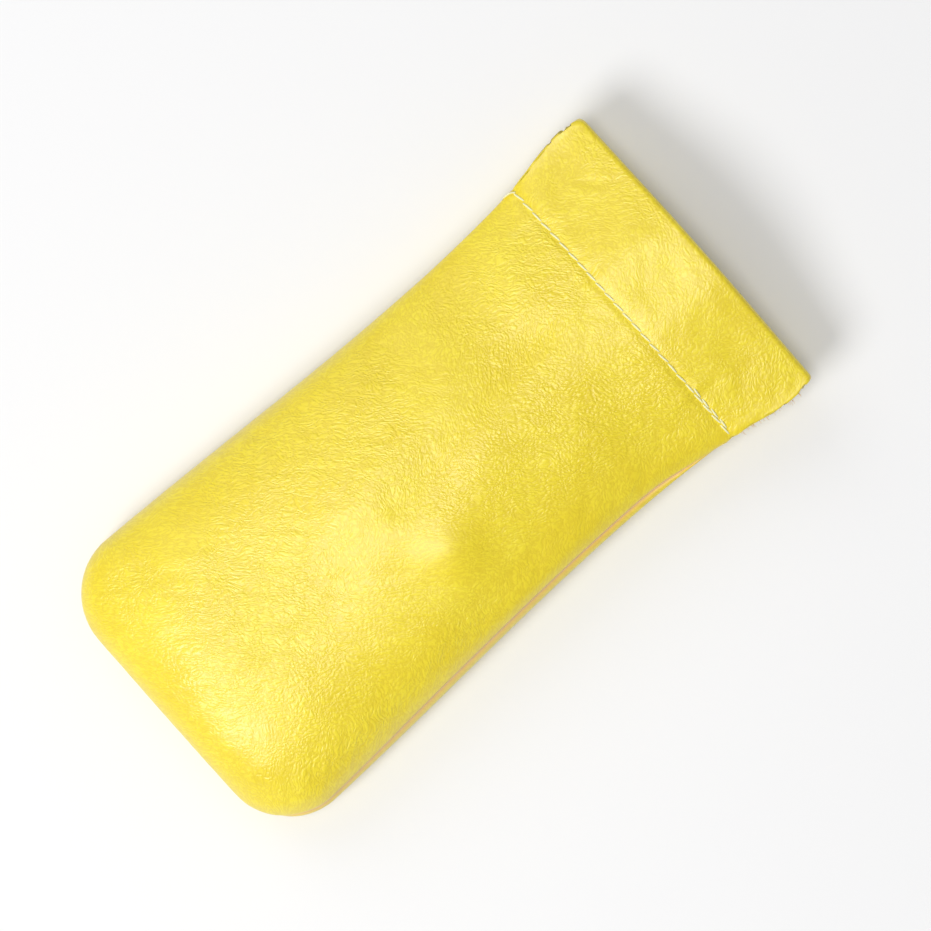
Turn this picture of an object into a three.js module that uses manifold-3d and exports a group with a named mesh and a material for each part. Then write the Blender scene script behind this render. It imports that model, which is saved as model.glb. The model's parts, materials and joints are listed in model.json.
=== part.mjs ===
// Soft leather pouch for glasses with a squeeze-open flex frame in its mouth.
// It lies on its back panel. Millimetres: X runs across the pouch, Y from the closed end
// to the mouth, and Z up. The mouth stands partly open, between its two limits.
import * as THREE from 'three';
import { mergeVertices } from 'three/addons/utils/BufferGeometryUtils.js';
import Module from 'manifold-3d';

const wasm = await Module();
wasm.setup();

// Pouch outline
const LENGTH = 181;             // seam thread at the closed end to the mouth edge
const BELLY_WIDTH = 88.4;       // widest part of the panels, near the closed end
const WAIST_WIDTH = 80.2;       // narrowest part of the panels
const WAIST_FROM_MOUTH = 58;    // mouth edge back to the waist
const RIM_FLARE = 2.1;          // how far each side of a panel flares from waist to hem
const CORNER_RADIUS = 18;       // corners of the closed end

// Pouch height
const BELLY_SEAM_HEIGHT = 11;   // side seam above the table at the belly
const MOUTH_SEAM_HEIGHT = 17.5; // middle plane of the mouth above the table
const FRONT_BULGE = 20;         // front panel above the side seam
const BACK_BULGE = 13.5;        // back panel below the seam, before the table flattens it
const END_ROUNDING = 34;        // length over which the closed end fills out
const SEAM_LEVEL_LENGTH = 30;   // closed end to where the side seam starts to rise
const NECK_LENGTH = 92;         // panel rim back to where the belly starts to narrow
const LENS_LENGTH = 72;         // panel rim back to where the section starts to sharpen
const BELLY_FULLNESS = 0.48;    // power of the section's curve at the belly, nearly an ellipse
const MOUTH_FULLNESS = 0.8;     // the same at the panel's rim, a lens
const END_FULLNESS = 2.4;       // power of the closed end's rounding

// Sheet materials
const LEATHER = 1.2;            // panel and outer hem wall
const FACING = 0.9;             // hem folded inwards, skived thinner
const LINING = 0.6;
const THREAD_RADIUS = 0.35;

// Hem and flex frame
const HEM_HEIGHT = 25;          // mouth edge back to the panel's rim
const HEM_OVERHANG = 2.2;       // hem past each hinge pin
const STITCH_FROM_RIM = 1.5;    // panel's rim back to the row of topstitching
const STITCH_REACH = 0.95;      // share of the panel's width that the row crosses
const STRIP_WIDTH = 11;
const STRIP_THICKNESS = 0.5;
const MIDDLE_LENGTH = 19;       // straight middle segment, between its two flexures
const SIDE_LENGTH = 33.8;       // side segment, flexure to hinge pin
const REST_ANGLE = THREE.MathUtils.degToRad(12.5);  // side segment to the mouth's middle plane
const PIN_RADIUS = 1.15;
const PIN_HEAD_RADIUS = 1.8;
const PIN_HEAD_LENGTH = 0.6;
const PIN_CROWN_RADIUS = 1.25;  // flat end of the pin's rounded head
const KNUCKLE_WIDTH = 4;        // middle knuckle, on the front strip
const EYE_TURN = THREE.MathUtils.degToRad(300);     // how far the strip rolls round its pin

// Clearances
const SEAM_GAP = 0.3;           // between front and back pieces at the side seam
const SHEET_GAP = 0.4;          // between leather and lining
const PIN_GAP = 0.3;            // pin to the eye of a strip
const KNUCKLE_GAP = 0.3;        // between knuckles, and to the pin's heads
const CHANNEL_GAP = 0.3;        // strip to the leather of its channel
const FOLD_GAP = 2.45;          // strip to the fold at the mouth
const FLEXURE_GAP = 0.6;        // between two segments of a strip
const HEM_GAP = 1.1;            // between two segments of a hem
const RIM_GAP = 1;              // hem to the panel's rim
const THREAD_GAP = 0.3;         // thread to the leather
const EYE_CLEARANCE = 0.65;     // strip and facing cut back from the other strip's eye

// Fineness of the curved pieces
const SHELL_COLUMNS = 18;
const SHELL_ROWS = 20;
const ARC_SEGMENTS = 8;
const EYE_SEGMENTS = 14;
const ROW_SPACING_POWER = 1.6;  // above 1, rows of a panel crowd towards the closed end
const TOPSTITCH_STEPS = 20;
const SEAM_THREAD_STEPS = 72;

// Places that follow from the sizes
const MOUTH_EDGE = LENGTH / 2;
const CLOSED_END = -LENGTH / 2 + THREAD_GAP + 2 * THREAD_RADIUS;
const HEM_EDGE = MOUTH_EDGE - HEM_HEIGHT;
const PANEL_RIM = HEM_EDGE - RIM_GAP;
const WAIST = MOUTH_EDGE - WAIST_FROM_MOUTH;
const EYE_INNER = PIN_RADIUS + PIN_GAP;
const EYE_OUTER = EYE_INNER + STRIP_THICKNESS;
const STRIP_OFFSET = EYE_INNER + STRIP_THICKNESS / 2;
const WALL_INNER = EYE_OUTER + CHANNEL_GAP;
const WALL_OUTER = WALL_INNER + LEATHER;
const FACING_OUTER = EYE_INNER - CHANNEL_GAP;
const FACING_INNER = FACING_OUTER - FACING;
const FOLD_OUTER = (WALL_OUTER - FACING_INNER) / 2;
const FOLD_INNER = (WALL_INNER - FACING_OUTER) / 2;
const STRIP_CENTRE = MOUTH_EDGE - FOLD_OUTER + FOLD_INNER - FOLD_GAP - STRIP_WIDTH / 2;
const CUT_BACK = EYE_OUTER + EYE_CLEARANCE;
const MIDDLE_HALF = MIDDLE_LENGTH / 2;
const ACROSS_SIDE = SIDE_LENGTH * Math.cos(REST_ANGLE) - STRIP_OFFSET * Math.sin(REST_ANGLE);
const PIN_X = MIDDLE_HALF + ACROSS_SIDE;
const STRIP_RISE = SIDE_LENGTH * Math.sin(REST_ANGLE) + STRIP_OFFSET * Math.cos(REST_ANGLE);
const MIDDLE_LIFT = STRIP_RISE - STRIP_OFFSET;
const RIM_BULGE = WALL_OUTER + MIDDLE_LIFT;
const STITCH_LINE = PANEL_RIM - STITCH_FROM_RIM;

function material(colour, roughness, metalness) {
  return new THREE.MeshStandardMaterial({ color: colour, roughness, metalness });
}

const leather = material(0xe6d23a, 0.5, 0);
const suede = material(0xc9b27a, 0.9, 0);
const thread = material(0xf2eb9c, 0.8, 0);
const springSteel = material(0x9a9ca0, 0.35, 1);

// A shape drawn in (y, z), extruded along X from one x to another.
function extrudeAcross(shape, from, to) {
  const settings = { depth: to - from, bevelEnabled: false, curveSegments: ARC_SEGMENTS };
  const geometry = new THREE.ExtrudeGeometry(shape, settings);
  const turn = new THREE.Matrix4().makeBasis(
    new THREE.Vector3(0, 1, 0),
    new THREE.Vector3(0, 0, 1),
    new THREE.Vector3(1, 0, 0),
  );
  geometry.applyMatrix4(turn);
  geometry.translate(from, 0, 0);
  return geometry;
}

// A shape drawn in (x, z), extruded along Y from one y to another.
function extrudeAlong(shape, from, to) {
  const settings = { depth: to - from, bevelEnabled: false, curveSegments: EYE_SEGMENTS };
  const geometry = new THREE.ExtrudeGeometry(shape, settings);
  geometry.rotateX(Math.PI / 2);
  geometry.translate(0, to, 0);
  return geometry;
}

function indexed(geometry) {
  const bare = geometry.clone();
  bare.deleteAttribute('normal');
  bare.deleteAttribute('uv');
  return mergeVertices(bare, 1e-4);
}

function toSolid(geometry) {
  const merged = indexed(geometry);
  const mesh = new wasm.Mesh({
    numProp: 3,
    vertProperties: new Float32Array(merged.attributes.position.array),
    triVerts: new Uint32Array(merged.index.array),
  });
  return new wasm.Manifold(mesh);
}

function joined(geometries) {
  let solid = toSolid(geometries[0]);
  for (const geometry of geometries.slice(1)) {
    solid = solid.add(toSolid(geometry));
  }
  const mesh = solid.getMesh();
  const result = new THREE.BufferGeometry();
  result.setAttribute('position', new THREE.BufferAttribute(mesh.vertProperties, 3));
  result.setIndex(new THREE.BufferAttribute(mesh.triVerts, 1));
  return result;
}

// The same piece for the other side of the pouch, the back of it, or both.
function mirrored(geometry, side, face) {
  const result = indexed(geometry);
  result.scale(side, 1, face);
  if (side * face < 0) {
    const corners = result.index.array;
    for (let i = 0; i < corners.length; i += 3) {
      [corners[i + 1], corners[i + 2]] = [corners[i + 2], corners[i + 1]];
    }
  }
  return result;
}

function polygon(points) {
  return new THREE.Shape(points.map(([a, b]) => new THREE.Vector2(a, b)));
}

// ---- Panels and linings -------------------------------------------------------------

function sideHalfWidth(y) {
  if (y > WAIST) {
    const share = (y - WAIST) / (PANEL_RIM - WAIST);
    return WAIST_WIDTH / 2 + RIM_FLARE * share * share;
  }
  const share = THREE.MathUtils.clamp((y - CLOSED_END) / (WAIST - CLOSED_END), 0, 1);
  const ease = (1 - Math.cos(Math.PI * share)) / 2;
  return THREE.MathUtils.lerp(BELLY_WIDTH / 2, WAIST_WIDTH / 2, ease);
}

function halfWidth(y) {
  const missing = Math.max(0, CORNER_RADIUS - (y - CLOSED_END));
  const reach = Math.sqrt(Math.max(0, CORNER_RADIUS ** 2 - missing ** 2));
  return sideHalfWidth(y) - CORNER_RADIUS + reach;
}

function seamHeight(y) {
  const share = THREE.MathUtils.smoothstep(y, CLOSED_END + SEAM_LEVEL_LENGTH, PANEL_RIM);
  return THREE.MathUtils.lerp(BELLY_SEAM_HEIGHT, MOUTH_SEAM_HEIGHT, share);
}

function bulge(y, bellyBulge) {
  const empty = 1 - Math.min(1, (y - CLOSED_END) / END_ROUNDING);
  const filled = (1 - empty ** END_FULLNESS) ** (1 / END_FULLNESS);
  const share = THREE.MathUtils.smoothstep(y, PANEL_RIM - NECK_LENGTH, PANEL_RIM);
  return filled * THREE.MathUtils.lerp(bellyBulge, RIM_BULGE, share);
}

// Height of the section at u, from -1 to 1 across: full at the belly, a lens at the mouth.
function sectionShare(u, y) {
  const share = THREE.MathUtils.smoothstep(y, PANEL_RIM - LENS_LENGTH, PANEL_RIM);
  const power = THREE.MathUtils.lerp(BELLY_FULLNESS, MOUTH_FULLNESS, share);
  return (1 - u * u) ** power;
}

// One skin of a shell, set in by some distance from the outside of the pouch.
function skinPoint(column, row, inset, face) {
  const u = Math.sin(Math.PI * (column / SHELL_COLUMNS - 0.5));
  const first = CLOSED_END + inset;
  const y = first + (PANEL_RIM - first) * (row / SHELL_ROWS) ** ROW_SPACING_POWER;
  const outline = Math.max(CLOSED_END, y - inset * (1 - row / SHELL_ROWS));
  const x = u * (halfWidth(outline) - inset);
  const full = bulge(outline, face > 0 ? FRONT_BULGE : BACK_BULGE);
  const height = Math.max(0, full - inset) * sectionShare(u, y);
  const z = seamHeight(y) + face * (SEAM_GAP / 2 + height);
  return [x, y, face > 0 ? z : Math.max(z, inset)];
}

function shellGeometry(outerInset, thickness, face) {
  const positions = [];
  const corners = [];
  const across = SHELL_COLUMNS + 1;
  const skinSize = across * (SHELL_ROWS + 1);
  for (const inset of [outerInset, outerInset + thickness]) {
    for (let row = 0; row <= SHELL_ROWS; row += 1) {
      for (let column = 0; column <= SHELL_COLUMNS; column += 1) {
        positions.push(...skinPoint(column, row, inset, face));
      }
    }
  }
  const outer = (column, row) => row * across + column;
  const inner = (column, row) => skinSize + outer(column, row);
  function quad(a, b, c, d) {
    if (face > 0) corners.push(a, b, c, a, c, d);
    else corners.push(a, c, b, a, d, c);
  }
  for (let row = 0; row < SHELL_ROWS; row += 1) {
    for (let column = 0; column < SHELL_COLUMNS; column += 1) {
      quad(outer(column, row), outer(column + 1, row),
        outer(column + 1, row + 1), outer(column, row + 1));
      quad(inner(column, row), inner(column, row + 1),
        inner(column + 1, row + 1), inner(column + 1, row));
    }
    const last = SHELL_COLUMNS;
    quad(outer(0, row), outer(0, row + 1), inner(0, row + 1), inner(0, row));
    quad(outer(last, row), inner(last, row), inner(last, row + 1), outer(last, row + 1));
  }
  for (let column = 0; column < SHELL_COLUMNS; column += 1) {
    const last = SHELL_ROWS;
    quad(outer(column, 0), inner(column, 0), inner(column + 1, 0), outer(column + 1, 0));
    quad(outer(column, last), outer(column + 1, last),
      inner(column + 1, last), inner(column, last));
  }
  const geometry = new THREE.BufferGeometry();
  geometry.setAttribute('position', new THREE.Float32BufferAttribute(positions, 3));
  geometry.setIndex(corners);
  return geometry;
}

// ---- Threads ------------------------------------------------------------------------

function threadGeometry(points, steps) {
  const path = new THREE.CatmullRomCurve3(points, false, 'centripetal');
  const section = new THREE.Shape();
  section.absarc(0, 0, THREAD_RADIUS, 0, 2 * Math.PI, false);
  const settings = { steps, bevelEnabled: false, extrudePath: path, curveSegments: 3 };
  return new THREE.ExtrudeGeometry(section, settings);
}

function topstitchGeometry(face) {
  const points = [];
  const count = 16;
  const lift = SEAM_GAP / 2 + THREAD_GAP + THREAD_RADIUS;
  for (let i = 0; i <= count; i += 1) {
    const u = STITCH_REACH * (2 * i / count - 1);
    const height = lift + bulge(STITCH_LINE, 0) * sectionShare(u, STITCH_LINE);
    const z = seamHeight(STITCH_LINE) + face * height;
    points.push(new THREE.Vector3(u * halfWidth(STITCH_LINE), STITCH_LINE, z));
  }
  return threadGeometry(points, TOPSTITCH_STEPS);
}

function seamThreadGeometry() {
  const away = THREAD_GAP + THREAD_RADIUS;
  const right = [];
  const arcCentre = CLOSED_END + CORNER_RADIUS;
  const sideSteps = 8;
  for (let i = 0; i <= sideSteps; i += 1) {
    const y = THREE.MathUtils.lerp(STITCH_LINE, arcCentre + 2, i / sideSteps);
    right.push(new THREE.Vector3(halfWidth(y) + away, y, seamHeight(y)));
  }
  const cornerX = sideHalfWidth(CLOSED_END) - CORNER_RADIUS;
  for (let i = 0; i <= ARC_SEGMENTS; i += 1) {
    const angle = (-Math.PI / 2) * (i / ARC_SEGMENTS);
    const radius = CORNER_RADIUS + away;
    const x = cornerX + radius * Math.cos(angle);
    const y = arcCentre + radius * Math.sin(angle);
    right.push(new THREE.Vector3(x, y, seamHeight(y)));
  }
  const bottomSteps = 6;
  for (let i = 1; i <= bottomSteps / 2; i += 1) {
    const x = cornerX * (1 - 2 * i / bottomSteps);
    const y = CLOSED_END - away;
    right.push(new THREE.Vector3(x, y, seamHeight(y)));
  }
  const left = right.map((point) => new THREE.Vector3(-point.x, point.y, point.z));
  left.pop();
  return threadGeometry([...right, ...left.reverse()], SEAM_THREAD_STEPS);
}

// ---- Hem ----------------------------------------------------------------------------

// The leather folded round the strip at the mouth, closed position, above the middle plane.
function channelShape() {
  const foldCentre = MOUTH_EDGE - FOLD_OUTER;
  const outerHeight = (WALL_OUTER + FACING_INNER) / 2;
  const innerHeight = (WALL_INNER + FACING_OUTER) / 2;
  const quarter = Math.PI / 2;
  const shape = new THREE.Shape();
  shape.moveTo(HEM_EDGE, FACING_INNER);
  shape.lineTo(foldCentre, FACING_INNER);
  shape.absarc(foldCentre, outerHeight, FOLD_OUTER, -quarter, quarter, false);
  shape.lineTo(HEM_EDGE, WALL_OUTER);
  shape.lineTo(HEM_EDGE, WALL_INNER);
  shape.lineTo(foldCentre, WALL_INNER);
  shape.absarc(foldCentre, innerHeight, FOLD_INNER, quarter, -quarter, true);
  shape.lineTo(HEM_EDGE, FACING_OUTER);
  return shape;
}

function wallShape() {
  return polygon([
    [HEM_EDGE, WALL_INNER],
    [MOUTH_EDGE - LEATHER, WALL_INNER],
    [MOUTH_EDGE - LEATHER / 2, WALL_OUTER],
    [HEM_EDGE, WALL_OUTER],
  ]);
}

function hemMiddleGeometry() {
  const reach = MIDDLE_HALF - HEM_GAP / 2;
  return extrudeAcross(channelShape(), -reach, reach);
}

// Right-hand hem segment of the front, with the hinge pin's axis at x = 0 and z = 0.
function hemSideGeometry() {
  const channel = extrudeAcross(channelShape(), -SIDE_LENGTH + HEM_GAP / 2, -CUT_BACK);
  const wall = extrudeAcross(wallShape(), -CUT_BACK - LEATHER, HEM_OVERHANG);
  return joined([channel, wall]);
}

// ---- Flex frame ---------------------------------------------------------------------

function stripMiddleGeometry() {
  const length = MIDDLE_LENGTH - FLEXURE_GAP;
  const geometry = new THREE.BoxGeometry(length, STRIP_WIDTH, STRIP_THICKNESS);
  geometry.translate(0, STRIP_CENTRE, STRIP_OFFSET);
  return geometry;
}

function eyeShape() {
  const top = Math.PI / 2;
  const tip = top - EYE_TURN;
  const shape = new THREE.Shape();
  shape.moveTo(-CUT_BACK - STRIP_THICKNESS, EYE_INNER);
  shape.lineTo(-CUT_BACK - STRIP_THICKNESS, EYE_OUTER);
  shape.lineTo(0, EYE_OUTER);
  shape.absarc(0, 0, EYE_OUTER, top, tip, true);
  shape.absarc(0, 0, EYE_INNER, tip, top, false);
  return shape;
}

// Right-hand strip segment of the front, with the hinge pin's axis at x = 0 and z = 0.
function stripSideGeometry(knuckles) {
  const band = new THREE.BoxGeometry(
    SIDE_LENGTH - FLEXURE_GAP / 2 - CUT_BACK, STRIP_WIDTH, STRIP_THICKNESS);
  const bandMiddle = -(SIDE_LENGTH - FLEXURE_GAP / 2 + CUT_BACK) / 2;
  band.translate(bandMiddle, STRIP_CENTRE, STRIP_OFFSET);
  const eyes = knuckles.map(([from, to]) => extrudeAlong(eyeShape(), from, to));
  return joined([band, ...eyes]);
}

function frontKnuckles() {
  return [[STRIP_CENTRE - KNUCKLE_WIDTH / 2, STRIP_CENTRE + KNUCKLE_WIDTH / 2]];
}

function backKnuckles() {
  const inner = KNUCKLE_WIDTH / 2 + KNUCKLE_GAP;
  const outer = STRIP_WIDTH / 2;
  return [
    [STRIP_CENTRE - outer, STRIP_CENTRE - inner],
    [STRIP_CENTRE + inner, STRIP_CENTRE + outer],
  ];
}

function pinGeometry() {
  const neck = STRIP_WIDTH / 2 + KNUCKLE_GAP;
  const end = neck + PIN_HEAD_LENGTH;
  const profile = [
    [0, -end],
    [PIN_CROWN_RADIUS, -end],
    [PIN_HEAD_RADIUS, -neck - PIN_HEAD_LENGTH / 2],
    [PIN_HEAD_RADIUS, -neck],
    [PIN_RADIUS, -neck],
    [PIN_RADIUS, neck],
    [PIN_HEAD_RADIUS, neck],
    [PIN_HEAD_RADIUS, neck + PIN_HEAD_LENGTH / 2],
    [PIN_CROWN_RADIUS, end],
    [0, end],
  ];
  const points = profile.map(([radius, along]) => new THREE.Vector2(radius, along));
  const geometry = new THREE.LatheGeometry(points, 2 * ARC_SEGMENTS);
  geometry.translate(0, STRIP_CENTRE, 0);
  return geometry;
}

// ---- Assembly -----------------------------------------------------------------------

const pouch = new THREE.Group();

function addPiece(parent, name, geometry, pieceMaterial) {
  const mesh = new THREE.Mesh(geometry, pieceMaterial);
  mesh.name = name;
  parent.add(mesh);
}

// A group on a hinge pin, turned to the angle that its segment has in the open mouth.
function segmentGroup(side, face) {
  const group = new THREE.Group();
  group.position.set(side * PIN_X, 0, MOUTH_SEAM_HEIGHT);
  group.rotation.y = side * face * REST_ANGLE;
  pouch.add(group);
  return group;
}

function middleGroup(face) {
  const group = new THREE.Group();
  group.position.set(0, 0, MOUTH_SEAM_HEIGHT + face * MIDDLE_LIFT);
  pouch.add(group);
  return group;
}

const faces = [['front', 1], ['back', -1]];
const sides = [['left', -1], ['right', 1]];

for (const [faceName, face] of faces) {
  addPiece(pouch, `${faceName}_panel`, shellGeometry(0, LEATHER, face), leather);
  const liningInset = LEATHER + SHEET_GAP;
  addPiece(pouch, `${faceName}_lining`, shellGeometry(liningInset, LINING, face), suede);
  addPiece(pouch, `${faceName}_topstitch`, topstitchGeometry(face), thread);

  const middle = middleGroup(face);
  addPiece(middle, `${faceName}_strip_middle`,
    mirrored(stripMiddleGeometry(), 1, face), springSteel);
  addPiece(middle, `${faceName}_hem_middle`, mirrored(hemMiddleGeometry(), 1, face), leather);

  const knuckles = face > 0 ? frontKnuckles() : backKnuckles();
  for (const [sideName, side] of sides) {
    const segment = segmentGroup(side, face);
    addPiece(segment, `${faceName}_strip_${sideName}`,
      mirrored(stripSideGeometry(knuckles), side, face), springSteel);
    addPiece(segment, `${faceName}_hem_${sideName}`,
      mirrored(hemSideGeometry(), side, face), leather);
    if (face < 0) addPiece(segment, `hinge_pin_${sideName}`, pinGeometry(), springSteel);
  }
}

addPiece(pouch, 'seam_thread', seamThreadGeometry(), thread);

export default pouch;
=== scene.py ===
"""Soft yellow leather glasses pouch with a squeeze-open flex frame, lying on its back panel.

The leather, the linings and the threads are built here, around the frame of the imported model.
Shapes are worked out in millimetres, in the model's own axes: X across, Y to the mouth, Z up.
"""
import json
import math

import bpy
import numpy as np
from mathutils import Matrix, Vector


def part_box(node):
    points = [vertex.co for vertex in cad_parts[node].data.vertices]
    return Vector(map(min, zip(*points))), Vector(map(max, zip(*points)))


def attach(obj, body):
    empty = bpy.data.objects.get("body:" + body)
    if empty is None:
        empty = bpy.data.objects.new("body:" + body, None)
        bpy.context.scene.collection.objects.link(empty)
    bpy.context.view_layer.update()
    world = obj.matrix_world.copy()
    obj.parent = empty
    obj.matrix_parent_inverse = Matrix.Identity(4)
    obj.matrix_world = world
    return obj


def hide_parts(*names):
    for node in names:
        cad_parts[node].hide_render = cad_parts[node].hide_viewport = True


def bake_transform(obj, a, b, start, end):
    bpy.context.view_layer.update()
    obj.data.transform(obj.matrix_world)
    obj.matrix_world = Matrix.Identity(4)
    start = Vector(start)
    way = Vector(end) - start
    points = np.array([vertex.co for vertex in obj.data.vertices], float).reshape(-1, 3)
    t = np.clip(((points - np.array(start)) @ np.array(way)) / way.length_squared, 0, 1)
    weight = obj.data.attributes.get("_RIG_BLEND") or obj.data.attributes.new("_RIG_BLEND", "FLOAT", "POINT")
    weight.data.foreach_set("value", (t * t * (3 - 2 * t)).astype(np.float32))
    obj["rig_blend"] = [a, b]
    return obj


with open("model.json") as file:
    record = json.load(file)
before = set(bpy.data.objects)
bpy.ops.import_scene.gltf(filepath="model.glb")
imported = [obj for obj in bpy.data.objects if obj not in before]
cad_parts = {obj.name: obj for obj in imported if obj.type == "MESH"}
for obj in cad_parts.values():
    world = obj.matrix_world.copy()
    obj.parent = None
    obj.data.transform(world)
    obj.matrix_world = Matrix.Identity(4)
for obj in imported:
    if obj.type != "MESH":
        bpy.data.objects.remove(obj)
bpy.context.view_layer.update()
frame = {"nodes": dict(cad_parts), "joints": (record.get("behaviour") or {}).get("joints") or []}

MM = 0.001


# ---- Sizes taken from the frame ----------------------------------------------------------


def box_mm(node):
    """The lowest and highest corner of a CAD node."""
    low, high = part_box(node)
    return np.array(low) / MM, np.array(high) / MM


def joint_mm(name):
    """The place of a joint."""
    joint = next(j for j in frame["joints"] if j["name"] == name)
    return np.array(joint["pos_m"]) / MM


panel_low, panel_high = box_mm("front_panel")
hem_low, hem_high = box_mm("front_hem_middle")
pin = joint_mm("right_pin_hinge")
flexure = joint_mm("back_flex_right")

CLOSED_END = panel_low[1]
PANEL_RIM = panel_high[1]
HEM_EDGE = hem_low[1]
MOUTH_EDGE = hem_high[1]
STITCH_Y = (PANEL_RIM + HEM_EDGE) / 2
PIN_X = pin[0]
MOUTH_HEIGHT = pin[2]
MIDDLE_HALF = flexure[0]
HEM_RISE = hem_high[2] - MOUTH_HEIGHT

# ---- Sizes of the soft goods -------------------------------------------------------------

LEATHER = 1.2
FACING = 0.7                # hem turned inwards
LINING = 0.6
LINING_GAP = 0.4            # between leather and lining
LINING_WIDTH_SHARE = 0.985  # of the leather's width
SHUT_RISE = 3.45            # outside of the hem above the mouth's middle plane when shut
CHANNEL = 2.25              # middle of the outer hem wall to the middle of the facing
CHANNEL_ROOM = 0.2          # more of it on each side of the side strips
CHANNEL_ROOM_X = (12.0, 22.0)           # where the extra room starts, and where it is full
FLEXURE_ROUNDING = 2.5      # of the hem's inside
OUTER_ROUNDING = 7.0        # of the hem's outside
PIN_ROUNDING = 0.08         # at the foot of the mouth's arch, as a share of its rise
FLEXURE_SWELL = 0.33        # how far the outer leather stands off the strip's corners
FACING_END = 4.8            # the facing stops this far short of the pins
LIFT = HEM_RISE - SHUT_RISE
FOLD_RADIUS = CHANNEL / 2
TURN_Y = MOUTH_EDGE - FOLD_RADIUS - LEATHER / 2     # where the hem starts to turn inwards

BELLY_HALF_WIDTH = 44.2
WAIST_HALF_WIDTH = 40.1
WAIST_Y = 32.0
RIM_HALF_WIDTH = 42.2
EAR_HALF_WIDTH = 45.0       # hem past the end of the side seam
MOUTH_TAPER = 0.7           # how far each side comes in again at the mouth's edge
FACING_SHARE = (PIN_X - FACING_END) / EAR_HALF_WIDTH
CORNER_RADIUS = 18.0
LEFT_MOUTH_CORNER = 2.2     # rounding of the hem at the mouth
RIGHT_MOUTH_CORNER = 1.2

BELLY_SEAM_HEIGHT = 11.0
SEAM_LEVEL_LENGTH = 30.0    # closed end to where the seam starts to rise
FRONT_BULGE = 20.0
BACK_BULGE = 13.5
END_ROUNDING = 34.0         # length over which the closed end fills out
END_FULLNESS = 2.4          # power of the closed end's rounding
NECK_LENGTH = 92.0          # panel's rim back to where the belly starts to narrow
LENS_LENGTH = 72.0          # panel's rim back to where the section starts to sharpen
BELLY_FULLNESS = 0.43       # power of the section's curve at the belly, nearly an ellipse
RIM_FULLNESS = 0.8          # the same at the panel's rim, a lens
EDGE_RADIUS = 6.0           # how tightly the sides roll over

SEAM_HALF_GAP = 0.12        # half the gap between the front and back leather at the seam
SEAM_SHIFT = 4.2            # how far the seam lies past the widest line: up on the right side
SEAM_SHIFT_REACH = 16.0     # distance from the seam over which the leather follows
SEAM_SHIFT_ENDS = 40.0      # the shift fades out from here to the hem
SEAM_ROLL = 1.2             # the two faces turn into each other this near the seam
GROOVE_DEPTH = 0.65
GROOVE_WIDTH = 1.0
GROOVE_ENDS = (58.0, 64.0)  # the groove along the seam fades out between these

COLUMNS = 132
PANEL_ROWS = 190
HEM_ROWS = 34
FOLD_ROWS = 10
FACING_ROWS = 24

STITCH_LENGTH = 3.3
STITCH_RADIUS = 0.27
STITCH_RISE = 0.30          # middle of a stitch over its ends
STITCH_SINK = 0.12          # ends of a stitch below the leather's surface
STITCH_REACH = RIM_HALF_WIDTH - 1.2
SEAM_THREAD_RADIUS = 0.26
SEAM_THREAD_INSET = LEATHER * 0.62
SEAM_THREAD_STEP = 0.9      # shortest step between two points of the thread's path


# ---- Small helpers -----------------------------------------------------------------------


def smooth(value, start, end):
    """0 before the start, 1 past the end, and an even S-curve between them."""
    share = np.clip((value - start) / (end - start), 0, 1)
    return share * share * (3 - 2 * share)


def mix(a, b, share):
    return a + (b - a) * share


def hashed(ix, iy, seed):
    """A repeatable random number from -1 to 1 at each whole-number lattice point."""
    mask = np.uint64(0xFFFFFFFF)
    a = ix.astype(np.int64).astype(np.uint64) * np.uint64(374761393)
    b = iy.astype(np.int64).astype(np.uint64) * np.uint64(668265263)
    h = (a + b + np.uint64(seed * 2246822519)) & mask
    h = ((h ^ (h >> np.uint64(13))) * np.uint64(1274126177)) & mask
    h = h ^ (h >> np.uint64(16))
    return h.astype(float) / 2**31 - 1


def noise(x, y, seed):
    """Smooth value noise with a cell of 1."""
    ix, iy = np.floor(x), np.floor(y)
    fx, fy = x - ix, y - iy
    fx = fx * fx * fx * (fx * (fx * 6 - 15) + 10)
    fy = fy * fy * fy * (fy * (fy * 6 - 15) + 10)
    low = mix(hashed(ix, iy, seed), hashed(ix + 1, iy, seed), fx)
    high = mix(hashed(ix, iy + 1, seed), hashed(ix + 1, iy + 1, seed), fx)
    return mix(low, high, fy)


def ridges(x, y, seed):
    """Noise with sharp valleys between soft ridges, about 0 on average."""
    return 0.45 - np.abs(noise(x, y, seed) + 0.35 * noise(2.1 * x, 2.1 * y, seed + 7))


# ---- The pouch's shape -------------------------------------------------------------------


def side_line(y):
    """Half the pouch's width, leaving out the corners of the closed end."""
    share = np.clip((y - CLOSED_END) / (WAIST_Y - CLOSED_END), 0, 1)
    side = mix(BELLY_HALF_WIDTH, WAIST_HALF_WIDTH, (1 - np.cos(np.pi * share)) / 2)
    flare = np.clip((y - WAIST_Y) / (PANEL_RIM - WAIST_Y), 0, 1)
    side = side + (RIM_HALF_WIDTH - WAIST_HALF_WIDTH) * flare**2
    side = side + (EAR_HALF_WIDTH - RIM_HALF_WIDTH) * smooth(y, PANEL_RIM - 2, PANEL_RIM + 19)
    return side - MOUTH_TAPER * smooth(y, MOUTH_EDGE - 6, MOUTH_EDGE + 1)


def half_width(y):
    """Half the pouch's width at its outline."""
    missing = np.clip(CORNER_RADIUS - (y - CLOSED_END), 0, CORNER_RADIUS)
    return side_line(y) - CORNER_RADIUS + np.sqrt(CORNER_RADIUS**2 - missing**2)


def seam_height(y):
    """Height of the side seam over the table, before the leather moves round the edge."""
    rise = smooth(y, CLOSED_END + SEAM_LEVEL_LENGTH, PANEL_RIM)
    return mix(BELLY_SEAM_HEIGHT, MOUTH_HEIGHT, rise)


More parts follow.
